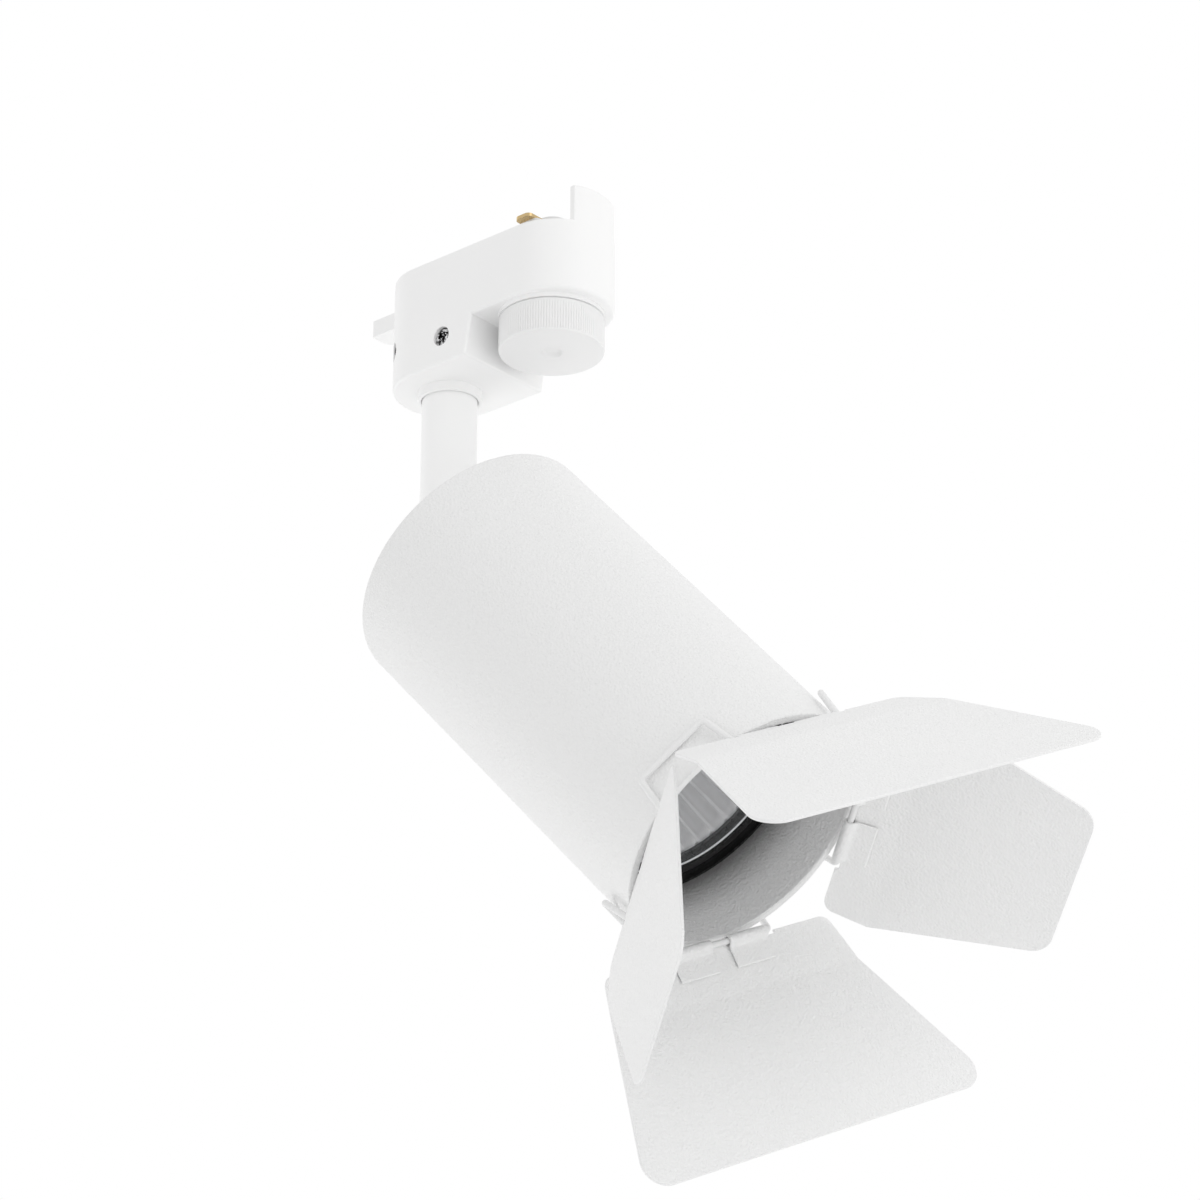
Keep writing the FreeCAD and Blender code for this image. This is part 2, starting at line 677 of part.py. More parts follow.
def pivot_screw():
    outer = EAR_IN + EAR_T
    head_end = outer + PIVOT_HEAD_T
    shank = across_pivot(PIN_R, -outer - PIVOT_END, outer)
    screw = fused([shank, across_pivot(PIVOT_HEAD_R, outer, head_end)])
    socket = hexagon(SOCKET_R).extrude(Vector(0, 0, SOCKET_DEPTH))
    turned = Placement(Vector(0, head_end - SOCKET_DEPTH + 0.1, -HEAD_OFFSET), Rotation(Vector(1, 0, 0), -90))
    return screw.cut(placed(socket, turned))


def pivot_nut():
    outer = EAR_IN + EAR_T
    nut = hexagon(PIVOT_NUT_R).extrude(Vector(0, 0, PIVOT_NUT_T))
    turned = Placement(Vector(0, -outer, -HEAD_OFFSET), Rotation(Vector(1, 0, 0), 90))
    return placed(nut, turned).cut(across_pivot(PIN_R, -OUTSIDE, OUTSIDE))


def pivot_washers():
    thick = EAR_IN - TONGUE_HALF - RUNNING
    washers = []
    for y in (TONGUE_HALF + RUNNING, -EAR_IN):
        disc = across_pivot(PIVOT_WASHER_R, y, y + thick)
        washers.append(disc.cut(across_pivot(PIN_R, -OUTSIDE, OUTSIDE)))
    return Part.makeCompound(washers)


def cable_grommet():
    """Sleeve through the rear cap with a flange on each side, trimmed beside the bracket foot."""
    outline = [
        (GROMMET_BORE_R, CAP_Z - GROMMET_LIP),
        (GROMMET_FLANGE_R, CAP_Z - GROMMET_LIP),
        (GROMMET_FLANGE_R, CAP_Z),
        (GROMMET_R, CAP_Z),
        (GROMMET_R, CAP_TOP),
        (GROMMET_FLANGE_R, CAP_TOP),
        (GROMMET_FLANGE_R, CAP_TOP + GROMMET_LIP),
        (GROMMET_BORE_R, CAP_TOP + GROMMET_LIP),
    ]
    grommet = revolved(outline)
    grommet.translate(Vector(GROMMET_X, 0, 0))
    return grommet.cut(box(-FOOT_HALF_W, FOOT_HALF_W, -FOOT_HALF_L, FOOT_HALF_L, CAP_Z - FOOT_T, CAP_Z))


def head_wires():
    wires = [cyl(LEAD_R, CAP_Z, STRAP_TOP, GROMMET_X, y) for y in (-HEAD_LEAD_Y, HEAD_LEAD_Y)]
    return Part.makeCompound(wires)


def holder_bracket():
    """Strap over the holder's back: a deck on two legs with outside feet turned inwards."""
    parts = [box(-STRAP_HALF_W, STRAP_HALF_W, -STRAP_OUT, STRAP_OUT, STRAP_TOP - STRAP_T, STRAP_TOP)]
    for side in (-1, 1):
        outer, inner = side * STRAP_OUT, side * (STRAP_OUT - STRAP_T)
        foot = side * (STRAP_OUT - FOOT_REACH)
        leg_y = sorted((outer, inner))
        foot_y = sorted((outer, foot))
        parts.append(box(-STRAP_HALF_W, STRAP_HALF_W, leg_y[0], leg_y[1], CAP_TOP, STRAP_TOP))
        parts.append(box(-STRAP_HALF_W, STRAP_HALF_W, foot_y[0], foot_y[1], CAP_TOP, CAP_TOP + STRAP_T))
    strap = fused(parts)
    for side in (-1, 1):
        strap = strap.cut(cyl(FOOT_SCREW_R, CAP_Z, CAP_TOP + STRAP_T + PAST, 0, side * FOOT_SCREW_Y))
        y = side * DECK_SCREW_Y
        strap = strap.cut(cyl(BRACKET_SCREW_R, STRAP_TOP - STRAP_T - PAST, STRAP_TOP + PAST, 0, y))
    return strap


def holder_screws():
    top = CAP_TOP + STRAP_T
    under_deck = STRAP_TOP - STRAP_T
    screws = []
    for side in (-1, 1):
        y = side * FOOT_SCREW_Y
        shank = cyl(FOOT_SCREW_R, CAP_Z, top, 0, y)
        screws.append(fused([shank, cyl(FOOT_HEAD_R, top, top + FOOT_HEAD_T, 0, y)]))
        y = side * DECK_SCREW_Y
        shank = cyl(BRACKET_SCREW_R, under_deck, DECK_SCREW_END, 0, y)
        screws.append(fused([shank, cyl(PAN_HEAD_R, under_deck - PAN_HEAD_T, under_deck, 0, y)]))
    return Part.makeCompound(screws)


def lampholder():
    body = cyl(HOLDER_R, STRAP_TOP, HOLDER_TOP)
    body = round_edges(body, HOLDER_ROUND, lambda edge: edge.CenterOfMass.z > HOLDER_TOP - 0.1)
    for side in (-1, 1):
        body = body.cut(cyl(PIN_WELL_R, PIN_WELL_BOTTOM, HOLDER_TOP + PAST, 0, side * PIN_Y))
        body = body.cut(cyl(BRACKET_SCREW_R, STRAP_TOP - PAST, DECK_SCREW_END, 0, side * DECK_SCREW_Y))
    return body


def lamp_pins():
    pins = []
    for y in (-PIN_Y, PIN_Y):
        foot = cyl(LAMP_FOOT_R, LAMP_FOOT_BOTTOM, LAMP_FOOT_TOP, 0, y)
        pins.append(fused([cyl(LAMP_PIN_R, LAMP_FOOT_TOP, LAMP_BASE_Z, 0, y), foot]))
    return Part.makeCompound(pins)


def lamp_base():
    shoulder = LAMP_BASE_Z + 1.6
    outline = [
        (0, LAMP_BASE_Z),
        (LAMP_BASE_R, LAMP_BASE_Z),
        (NECK_R, shoulder),
        (NECK_R, NECK_Z),
        (0, NECK_Z),
    ]
    return revolved(outline)


def bowl_outline(inset):
    """Half profile of the bowl from its neck to its rim."""
    rim = LAMP_FRONT - GASKET_BACK
    spread = LAMP_R - NECK_R - BOWL_GAP
    points = []
    for i in range(BOWL_STEPS + 1):
        part = i / BOWL_STEPS
        points.append((NECK_R + spread * part ** BOWL_CURVE - inset, NECK_Z + (rim - NECK_Z) * part))
    return points


def lamp_reflector():
    return revolved(bowl_outline(0.0) + bowl_outline(BOWL_T)[::-1])


def lamp_burner():
    foot = cyl(BURNER_FOOT_R, NECK_Z, BURNER_START)
    bulb = cyl(BURNER_R, BURNER_START, BURNER_END)
    bulb = round_edges(bulb, BURNER_R - 0.4, lambda edge: edge.CenterOfMass.z > BURNER_END - 0.1)
    return fused([foot, bulb])


def lamp_glass():
    return cyl(GLASS_R, LAMP_FRONT - GLASS_BACK, LAMP_FRONT - GLASS_FRONT)


def lamp_gasket():
    """Black ring that holds the glass to the bowl."""
    outline = [
        (GASKET_IN_R, LAMP_FRONT - GASKET_BACK),
        (GASKET_R, LAMP_FRONT - GASKET_BACK),
        (GASKET_R, LAMP_FRONT - 0.3),
        (GASKET_R - GASKET_CHAMFER, LAMP_FRONT),
        (GLASS_R, LAMP_FRONT),
        (GLASS_R, LAMP_FRONT - GLASS_BACK),
        (GASKET_IN_R, LAMP_FRONT - GLASS_BACK),
    ]
    return revolved(outline)


def retaining_ring():
    """Dark ring from the lamp to the tube wall, with a raised lip along the wall."""
    outline = [
        (GASKET_R, LAMP_FRONT - GLASS_BACK),
        (HEAD_IN_R, LAMP_FRONT - GLASS_BACK),
        (HEAD_IN_R, LAMP_FRONT + RING_LIP),
        (RING_LIP_R, LAMP_FRONT + RING_LIP),
        (RING_LIP_R, LAMP_FRONT - RING_FACE),
        (GASKET_R, LAMP_FRONT - RING_FACE),
    ]
    return revolved(outline)


# ---------------------------------------------------------------- barn doors
def beside(angle, radius, sideways, z):
    """Point out along that direction from the axis, then sideways from it."""
    out = direction(angle)
    return out * radius + UP.cross(out) * sideways + UP * z


def door_frame():
    """One wire: four hinge runs ahead of the rim, joined by four clips on the tube."""
    pin_z = HEAD_LEN + PIN_AHEAD
    clip_z = HEAD_LEN - CLIP_BACK
    quarters = []
    for i in range(4):
        a = FRAME_REST + 90 * i
        route = [
            beside(a, PIN_RADIUS, 0, pin_z),
            beside(a, PIN_RADIUS, PIN_HALF, pin_z),
            beside(a + 45, CLIP_RADIUS, -CLIP_HALF, clip_z),
            beside(a + 45, CLIP_RADIUS, CLIP_HALF, clip_z),
            beside(a + 90, PIN_RADIUS, -PIN_HALF, pin_z),
            beside(a + 90, PIN_RADIUS, 0, pin_z),
        ]
        quarters.append(swept(route, WIRE_BEND, WIRE_R))
    return fused(quarters)


def leaf_blank(shape):
    """Upright prism over the leaf's outline, for trimming the folded sheet."""
    bend = math.radians(shape["bend"])
    reach = shape["bend_at"] + (shape["length"] - shape["bend_at"]) * math.cos(bend)
    right = [
        (LEG_SPACE, HINGE_EDGE, 0.0),
        (LEG_SPACE, OUTER_EDGE, 0.0),
        (shape["hinge"], OUTER_EDGE, HINGE_CORNER_R),
        (shape["fold"], shape["bend_at"], 0.0),
        (shape["tip"], reach, TIP_CORNER_R),
    ]
    left = [(-x, y, radius) for x, y, radius in right[::-1]]
    outline = rounded_polygon(right + left, -OUTSIDE)
    return Part.Face(outline).extrude(Vector(0, 0, 2 * OUTSIDE))


def folded_sheet(shape):
    low = KNUCKLE_R - SHEET_T
    bend = math.radians(shape["bend"])
    along = Vector(0, math.cos(bend), math.sin(bend))
    lift = Vector(0, 0, SHEET_T)
    start = Vector(0, OUTER_EDGE, low)
    fold = Vector(0, shape["bend_at"], low)
    tip = fold + along * (shape["length"] - shape["bend_at"])
    tip_lift = Vector(0, -math.sin(bend), math.cos(bend)) * SHEET_T
    profile = [start, fold, tip, tip + tip_lift, fold + lift, start + lift]
    half = 2 * OUTSIDE
    sheet = prism([point - Vector(half, 0, 0) for point in profile], Vector(2 * half, 0, 0))
    return sheet.common(leaf_blank(shape))


def leaf(shape):
    """One leaf about its hinge pin: X along the pin, Y along the sheet, Z outward."""
    low = KNUCKLE_R - SHEET_T
    middle = box(-KNUCKLE_GAP_HALF, KNUCKLE_GAP_HALF, MIDDLE_EDGE, HINGE_EDGE, low, KNUCKLE_R)
    parts = [folded_sheet(shape), middle]

    def at_free_end(edge):
        return edge.CenterOfMass.y > TAB_END - 0.01 and is_upright(edge)

    for x in (KNUCKLE_GAP_HALF, -KNUCKLE_GAP_HALF - KNUCKLE_LEN):
        barrel = rod(KNUCKLE_R, Vector(x, 0, 0), Vector(x + KNUCKLE_LEN, 0, 0))
        tongue = box(x, x + KNUCKLE_LEN, 0, HINGE_EDGE, low, KNUCKLE_R)
        tab = box(x, x + KNUCKLE_LEN, 0, TAB_END, low - SHEET_T, low)
        tab = round_edges(tab, TAB_ROUND, at_free_end)
        parts += [barrel, tongue, tab]
    pin_way = rod(WIRE_R + RUNNING, Vector(-OUTSIDE, 0, 0), Vector(OUTSIDE, 0, 0))
    return fused(parts).cut(pin_way)


def leaf_place(around, opening):
    """Leaf's own frame inside the head's frame, opened from straight ahead."""
    out = direction(FRAME_REST + around)
    c, s = math.cos(math.radians(opening)), math.sin(math.radians(opening))
    origin = out * PIN_RADIUS + UP * (HEAD_LEN + PIN_AHEAD)
    return frame_of(UP.cross(out), UP * c + out * s, out * c - UP * s, origin)


# ---------------------------------------------------------------- the whole object
UPRIGHT = {
    "adapter_housing": adapter_housing,
    "adapter_cover": adapter_cover,
    "track_guide": track_guide,
    "earth_contact": earth_contact,
    "end_latch": end_latch,
    "side_screws": side_screws,
    "stem_collar": stem_collar,
    "terminal_block": terminal_block,
    "terminal_screws": terminal_screws,
    "adapter_wires": adapter_wires,
    "lock_knob": lock_knob,
    "lock_shaft": lock_shaft,
    "lock_clip": lock_clip,
    "lock_cam": lock_cam,
    "line_contacts": line_contacts,
    "stem_tube": stem_tube,
    "stem_nut": stem_nut,
    "stem_washer": stem_washer,
    "stem_knuckle": stem_knuckle,
    "stem_wires": stem_wires,
}

IN_HEAD = {
    "head_tube": head_tube,
    "rear_cap": rear_cap,
    "pivot_bracket": pivot_bracket,
    "bracket_screws": bracket_screws,
    "pivot_screw": pivot_screw,
    "pivot_nut": pivot_nut,
    "pivot_washers": pivot_washers,
    "cable_grommet": cable_grommet,
    "head_wires": head_wires,
    "holder_bracket": holder_bracket,
    "holder_screws": holder_screws,
    "lampholder": lampholder,
    "lamp_pins": lamp_pins,
    "lamp_base": lamp_base,
    "lamp_reflector": lamp_reflector,
    "lamp_burner": lamp_burner,
    "lamp_glass": lamp_glass,
    "lamp_gasket": lamp_gasket,
    "retaining_ring": retaining_ring,
    "door_frame": door_frame,
}

os.makedirs("parts", exist_ok=True)
for name, make in UPRIGHT.items():
    save(name, make())
for name, make in IN_HEAD.items():
    save(name, placed(make(), HEAD))
for name, (around, opening, shape) in LEAVES.items():
    save(name, placed(leaf(shape), HEAD.multiply(leaf_place(around, opening))))
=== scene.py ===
import math

import bmesh
import bpy
from mathutils import Matrix, Vector


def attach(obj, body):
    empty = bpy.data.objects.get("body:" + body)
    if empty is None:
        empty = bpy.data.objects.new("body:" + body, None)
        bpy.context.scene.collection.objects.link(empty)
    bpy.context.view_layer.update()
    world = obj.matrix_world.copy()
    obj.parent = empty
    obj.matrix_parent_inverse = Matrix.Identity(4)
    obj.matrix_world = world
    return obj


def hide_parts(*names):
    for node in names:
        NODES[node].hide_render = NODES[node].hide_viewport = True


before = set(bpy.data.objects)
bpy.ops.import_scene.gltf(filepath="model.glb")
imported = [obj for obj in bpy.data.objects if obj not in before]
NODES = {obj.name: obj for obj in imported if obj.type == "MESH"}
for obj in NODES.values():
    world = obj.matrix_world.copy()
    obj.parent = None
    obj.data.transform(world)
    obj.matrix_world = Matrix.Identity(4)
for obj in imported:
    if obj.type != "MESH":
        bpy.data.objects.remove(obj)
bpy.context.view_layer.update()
MM = 0.001

# ---- sizes shared with the CAD, in millimetres ----
STEM_X = -16.0
KNOB_X, KNOB_R, KNOB_BOTTOM, KNOB_TOP = 14.7, 11.8, -26.3, -18.5
SIDE_SCREW_X, SIDE_SCREW_Z, SIDE_SCREW_R, ADAPTER_R = -6.8, -20.0, 2.3, 13.0
END_SCREW_Z, END_SCREW_TURN = -17.5, 231.0
BLOCK_BOTTOM, COLLAR_R, COLLAR_T, STEM_R = -26.8, 7.4, 2.2, 6.3
PIVOT_Z, HEAD_OFFSET, HEAD_LEN = -62.8, 11.2, 100.0
HEAD_IN_R = 28.0
PAN_REST, TILT_REST, FRAME_REST = 11.0, 42.1, 35.7
PIN_RADIUS, PIN_AHEAD = 28.0, 1.9
LAMP_FRONT, LAMP_R, GLASS_R = 82.6, 25.0, 23.4
GLASS_BACK, GLASS_FRONT = 2.2, 0.6
SHEET_T, KNUCKLE_R, KNUCKLE_GAP_HALF, KNUCKLE_LEN, TAB_END = 0.7, 1.3, 2.4, 10.5, 6.2
HINGE_EDGE, MIDDLE_EDGE, OUTER_EDGE, LEG_SPACE = 0.9, 0.2, 0.1, 15.6
WIDE = {"bend_at": 11.3, "length": 47.0, "hinge": 30.3, "fold": 33.5, "tip": 47.5, "bend": -11.0}
SLIM = {"bend_at": 10.6, "length": 48.3, "hinge": 26.4, "fold": 27.9, "tip": 18.2, "bend": -6.0}
LEAVES = {
    "top": (0.0, 30.9, WIDE),
    "right": (-90.0, 43.5, SLIM),
    "bottom": (180.0, 28.0, WIDE),
    "left": (90.0, 37.5, SLIM),
}

# ---- sizes that only the visual pieces have, in millimetres ----
KNOB_RISE = 0.24          # the grip's top stands this far above the top of the CAD's knob
BEND_HALF = 0.9           # half the length of sheet that a leaf's soft bend takes up
SHEET_SOFT = 0.14         # rounding of the sheet's edges
STRIP_T = 0.48            # the rolled strips, which are thinner here than the sheet itself
CURL_R, CURL_LIFT = 1.05, 0.14      # middle of the rolled strip, and of its end under the sheet
PAINTED_SHADE_START, PAINTED_SHADE_END = -4.5, 11.5   # painted shade inside the tube: where it starts and ends, measured from the lamp's front

FINE_CUTS = 3             # cuts across each half of a leaf's soft bend
SMOOTH_ANGLE = 38.0       # edges that turn by more degrees than this stay sharp


# ------------------------------------------------------------------ materials
class Finish:
    """A Principled material with helpers for procedural roughness, tint and bump."""

    def __init__(self, name, colour, rough, metallic=0.0, ior=1.5, specular=0.5):
        self.material = bpy.data.materials.new(name)
        self.material.use_nodes = True
        self.tree = self.material.node_tree
        self.shader = self.tree.nodes["Principled BSDF"]
        self.shader.inputs["Base Color"].default_value = (*colour, 1)
        self.shader.inputs["Roughness"].default_value = rough
        self.shader.inputs["Metallic"].default_value = metallic
        self.shader.inputs["IOR"].default_value = ior
        self.shader.inputs["Specular IOR Level"].default_value = specular
        self.coords = self.tree.nodes.new("ShaderNodeTexCoord").outputs["Object"]
        self.height = None

    def new(self, kind, **values):
        node = self.tree.nodes.new(kind)
        for key, value in values.items():
            setattr(node, key, value)
        return node

    def noise(self, size, detail=2.0, rough=0.5, stretch=(1, 1, 1)):
        """Noise with features of about that size in millimetres."""
        node = self.new("ShaderNodeTexNoise")
        node.inputs["Scale"].default_value = 1 / (size * MM)
        node.inputs["Detail"].default_value = detail
        node.inputs["Roughness"].default_value = rough
        if stretch == (1, 1, 1):
            self.tree.links.new(self.coords, node.inputs["Vector"])
        else:
            scale = self.new("ShaderNodeMapping")
            scale.inputs["Scale"].default_value = stretch
            self.tree.links.new(self.coords, scale.inputs["Vector"])
            self.tree.links.new(scale.outputs["Vector"], node.inputs["Vector"])
        return node.outputs["Fac"]

    def cells(self, size, smooth=0.6):
        """Smooth cells with a pitch of about that many millimetres."""
        node = self.new("ShaderNodeTexVoronoi", feature="SMOOTH_F1")
        node.inputs["Scale"].default_value = 1 / (size * MM)
        node.inputs["Smoothness"].default_value = smooth
        self.tree.links.new(self.coords, node.inputs["Vector"])
        return node.outputs["Distance"]

    def mapped(self, value, low, high, from_low=0.3, from_high=0.7):
        node = self.new("ShaderNodeMapRange")
        limits = {"From Min": from_low, "From Max": from_high, "To Min": low, "To Max": high}
        for key, number in limits.items():
            node.inputs[key].default_value = number
        self.tree.links.new(value, node.inputs["Value"])
        return node.outputs["Result"]

    def rough_between(self, value, low, high):
        self.tree.links.new(self.mapped(value, low, high), self.shader.inputs["Roughness"])
        return self

    def tint(self, value, first, second, from_low=0.3, from_high=0.7):
        node = self.new("ShaderNodeMix", data_type="RGBA")
        node.inputs[6].default_value = (*first, 1)
        node.inputs[7].default_value = (*second, 1)
        self.tree.links.new(self.mapped(value, 0, 1, from_low, from_high), node.inputs[0])
        self.tree.links.new(node.outputs[2], self.shader.inputs["Base Color"])
        return self

    def bump(self, value, depth, strength=1.0):
        """Adds relief of that depth in millimetres."""
        node = self.new("ShaderNodeBump")
        node.inputs["Distance"].default_value = depth * MM
        node.inputs["Strength"].default_value = strength
        self.tree.links.new(value, node.inputs["Height"])
        if self.height is not None:
            self.tree.links.new(self.height, node.inputs["Normal"])
        self.height = node.outputs["Normal"]
        self.tree.links.new(self.height, self.shader.inputs["Normal"])
        return self


def leather_coat(name, grain, depth, white):
    """White powder coat: shallow leather grain, a little uneven in gloss and tint."""
    coat = Finish(name, (white,) * 3, 0.5)
    coat.bump(coat.cells(grain, 0.5), depth)
    coat.bump(coat.noise(grain * 0.8, 3.0), depth)
    coat.bump(coat.noise(14.0, 1.0), 0.02)
    coat.rough_between(coat.noise(grain * 1.5, 2.0), 0.46, 0.6)
    coat.tint(coat.noise(30.0, 3.0), (white * 0.985,) * 3, (white, white, white * 0.997))
    return coat.material


def moulded(name, white, grain, depth, low, high):
    """White moulded plastic: fine spark-eroded texture and faint flow marks."""
    plastic = Finish(name, (white,) * 3, 0.45)
    plastic.bump(plastic.noise(grain, 3.0, 0.6), depth)
    plastic.bump(plastic.noise(9.0, 1.0), 0.015)
    plastic.rough_between(plastic.noise(grain * 3, 2.0), low, high)
    plastic.tint(plastic.noise(18.0, 3.0), (white * 0.985,) * 3, (white, white, white * 0.996))
    return plastic.material


def metal(name, colour, low, high, scratch=0.0, stretch=(1, 1, 1)):
    """Bare or plated metal with uneven polish and fine scratches."""
    part = Finish(name, colour, (low + high) / 2, metallic=1.0)
    part.rough_between(part.noise(1.2, 4.0, 0.6, stretch), low, high)
    if scratch:
        part.bump(part.noise(0.5, 4.0, 0.7, stretch), scratch)
    dark = tuple(c * 0.88 for c in colour)
    part.tint(part.noise(3.0, 4.0, 0.6), dark, colour)
    return part.material


def glass(name, alpha, colour):
    """Thin clear glass: mostly see-through, with its gloss and a few faint smears."""
    pane = Finish(name, colour, 0.03, ior=1.5)
    pane.shader.inputs["Alpha"].default_value = alpha
    pane.rough_between(pane.noise(6.0, 3.0), 0.02, 0.07)
    pane.bump(pane.noise(5.0, 1.0), 0.01)
    return pane.material


MATERIALS = {
    "adapter_plastic": moulded("adapter_plastic", 0.95, 0.22, 0.02, 0.40, 0.52),
    "knob_plastic": moulded("knob_plastic", 0.89, 0.16, 0.02, 0.42, 0.55),
    "inner_plastic": moulded("inner_plastic", 0.78, 0.3, 0.03, 0.45, 0.6),
    # one white powder coat: the leaves' and the stem's copies are set lighter than the head's as painted
    # light, to brighten them
    "white_coat": leather_coat("white_coat", 0.62, 0.13, 0.9),
    "stem_coat": leather_coat("stem_coat", 0.4, 0.012, 0.98),
    "wire_coat": leather_coat("wire_coat", 0.35, 0.008, 0.85),
    "chrome_steel": metal("chrome_steel", (0.72, 0.72, 0.73), 0.08, 0.18, 0.002),
    "zinc_steel": metal("zinc_steel", (0.66, 0.66, 0.65), 0.25, 0.42, 0.006, (1, 1, 6)),
    "contact_brass": metal("contact_brass", (0.75, 0.56, 0.29), 0.18, 0.34, 0.004, (1, 5, 1)),
    "holder_ceramic": moulded("holder_ceramic", 0.8, 0.35, 0.03, 0.3, 0.5),
    "reflector_chrome": metal("reflector_chrome", (0.93, 0.93, 0.94), 0.05, 0.12, 0.001),
    "lamp_glass": glass("lamp_glass", 0.05, (0.9, 0.93, 0.94)),
    "burner_glass": glass("burner_glass", 0.35, (0.9, 0.9, 0.88)),
    "lamp_body": moulded("lamp_body", 0.8, 0.3, 0.02, 0.3, 0.42),
    "gasket_rubber": moulded("gasket_rubber", 0.012, 0.25, 0.01, 0.25, 0.4),
    "ring_dark": moulded("ring_dark", 0.012, 0.4, 0.004, 0.14, 0.24),
    "cable_white": moulded("cable_white", 0.8, 0.3, 0.02, 0.45, 0.6),
}

for node in NODES.values():
    for slot in node.material_slots:
        slot.material = MATERIALS[slot.material.name.split(".")[0]]


# ------------------------------------------------------------------ placing
def basis(x_axis, y_axis, z_axis, origin):
    columns = [x_axis, y_axis, z_axis, origin]
    rows = [[column[i] for column in columns] for i in range(3)]
    return Matrix(rows + [[0, 0, 0, 1]])


UP = Vector((0, 0, 1))
AHEAD = Vector((math.cos(math.radians(PAN_REST)), math.sin(math.radians(PAN_REST)), 0))
HEAD_Z = AHEAD * math.sin(math.radians(TILT_REST)) - UP * math.cos(math.radians(TILT_REST))
HEAD_Y = AHEAD.cross(UP)
HEAD_X = HEAD_Y.cross(HEAD_Z)
HEAD = basis(HEAD_X, HEAD_Y, HEAD_Z, Vector((STEM_X, 0, PIVOT_Z)) + HEAD_Z * HEAD_OFFSET)


def leaf_place(around, opening):
    """A leaf's own frame: X along its pin, Y along the sheet, Z outward."""
    a, b = math.radians(FRAME_REST + around), math.radians(opening)
    out, ahead = Vector((math.cos(a), math.sin(a), 0)), Vector((0, 0, 1))
    origin = out * PIN_RADIUS + ahead * (HEAD_LEN + PIN_AHEAD)
    along = ahead * math.cos(b) + out * math.sin(b)
    return HEAD @ basis(ahead.cross(out), along, out * math.cos(b) - ahead * math.sin(b), origin)


def at(x, y, z):
    return Matrix.Translation((x, y, z))


def head_coat_and_shade():
    """The leather coat of the head; inside the tube a painted shade darkens it towards the lamp's ring."""
    coat = Finish("head_coat_and_shade", (0.87,) * 3, 0.5)
    local = coat.new("ShaderNodeMapping")
    inverse = (Matrix.Scale(MM, 4) @ HEAD @ Matrix.Scale(1 / MM, 4)).inverted()
    local.inputs["Location"].default_value = inverse.translation
    local.inputs["Rotation"].default_value = inverse.to_euler("XYZ")
    coat.tree.links.new(coat.coords, local.inputs["Vector"])
    parts = coat.new("ShaderNodeSeparateXYZ")
    coat.tree.links.new(local.outputs["Vector"], parts.inputs["Vector"])
    squares = []
    for axis in ("X", "Y"):
        square = coat.new("ShaderNodeMath", operation="MULTIPLY")
        coat.tree.links.new(parts.outputs[axis], square.inputs[0])
        coat.tree.links.new(parts.outputs[axis], square.inputs[1])
        squares.append(square)
    radius2 = coat.new("ShaderNodeMath", operation="ADD")
    coat.tree.links.new(squares[0].outputs[0], radius2.inputs[0])
    coat.tree.links.new(squares[1].outputs[0], radius2.inputs[1])
    outside = coat.new("ShaderNodeMath", operation="GREATER_THAN")
    coat.tree.links.new(radius2.outputs[0], outside.inputs[0])
    outside.inputs[1].default_value = ((HEAD_IN_R + 0.6) * MM) ** 2
    fade = coat.new("ShaderNodeMapRange", interpolation_type="SMOOTHSTEP")
    fade.inputs["From Min"].default_value = (LAMP_FRONT + PAINTED_SHADE_START) * MM
    fade.inputs["From Max"].default_value = (LAMP_FRONT + PAINTED_SHADE_END) * MM
    fade.inputs["To Min"].default_value = 0
    fade.inputs["To Max"].default_value = 1
    coat.tree.links.new(parts.outputs["Z"], fade.inputs["Value"])
    # painted shade: near black at the lamp's ring, fading to the inner wall's light grey towards the mouth
    inner = coat.new("ShaderNodeMix", data_type="RGBA")
    inner.inputs[6].default_value = (0.012, 0.012, 0.012, 1)
    inner.inputs[7].default_value = (0.8, 0.8, 0.8, 1)
    coat.tree.links.new(fade.outputs[0], inner.inputs[0])
    whole = coat.new("ShaderNodeMix", data_type="RGBA")
    whole.inputs[7].default_value = (0.87, 0.87, 0.868, 1)
    coat.tree.links.new(outside.outputs[0], whole.inputs[0])
    coat.tree.links.new(inner.outputs[2], whole.inputs[6])
    coat.tree.links.new(whole.outputs[2], coat.shader.inputs["Base Color"])
    coat.bump(coat.cells(0.62, 0.5), 0.13)
    coat.bump(coat.noise(0.5, 3.0), 0.13)
    coat.bump(coat.noise(14.0, 1.0), 0.02)
    coat.rough_between(coat.noise(0.9, 2.0), 0.46, 0.6)
    return coat.material


HEAD_COAT_AND_SHADE = head_coat_and_shade()
for slot in NODES["head_tube"].material_slots:
    slot.material = HEAD_COAT_AND_SHADE


# ------------------------------------------------------------------ mesh tools
def piece(name, bm, place, body, slot, *replaced, finish=None):
    """Puts a mesh made in millimetres at its place, shaded smooth up to sharp edges."""
    mesh = bpy.data.meshes.new(name)
    bm.normal_update()
    bm.to_mesh(mesh)
    bm.free()
    mesh.transform(Matrix.Scale(MM, 4) @ place)
    mesh.polygons.foreach_set("use_smooth", [True] * len(mesh.polygons))
    mesh.set_sharp_from_angle(angle=math.radians(SMOOTH_ANGLE))
    mesh.materials.append(finish or MATERIALS[slot])
    made = bpy.data.objects.new(name, mesh)
    bpy.context.scene.collection.objects.link(made)
    weighted = made.modifiers.new("even_normals", "WEIGHTED_NORMAL")
    weighted.keep_sharp = True
    weighted.weight = 80
    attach(made, body)
    if replaced:
        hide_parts(*replaced)
    return made


def grid_surface(bm, rows, closed_rows=True, closed_columns=False):
    """Quads between rows of points; a row of one point becomes a fan."""
    made = [[bm.verts.new(p) for p in row] for row in rows]
    pairs = list(zip(made, made[1:]))
    if closed_columns:
        pairs.append((made[-1], made[0]))
    for a, b in pairs:
        count = max(len(a), len(b))
        for i in range(count if closed_rows else count - 1):
            j = (i + 1) % count
            corners = [a[i % len(a)], a[j % len(a)], b[j % len(b)], b[i % len(b)]]
            unique = []
            for corner in corners:
                if corner not in unique:
                    unique.append(corner)
            if len(unique) > 2:
                bm.faces.new(unique)
    return made


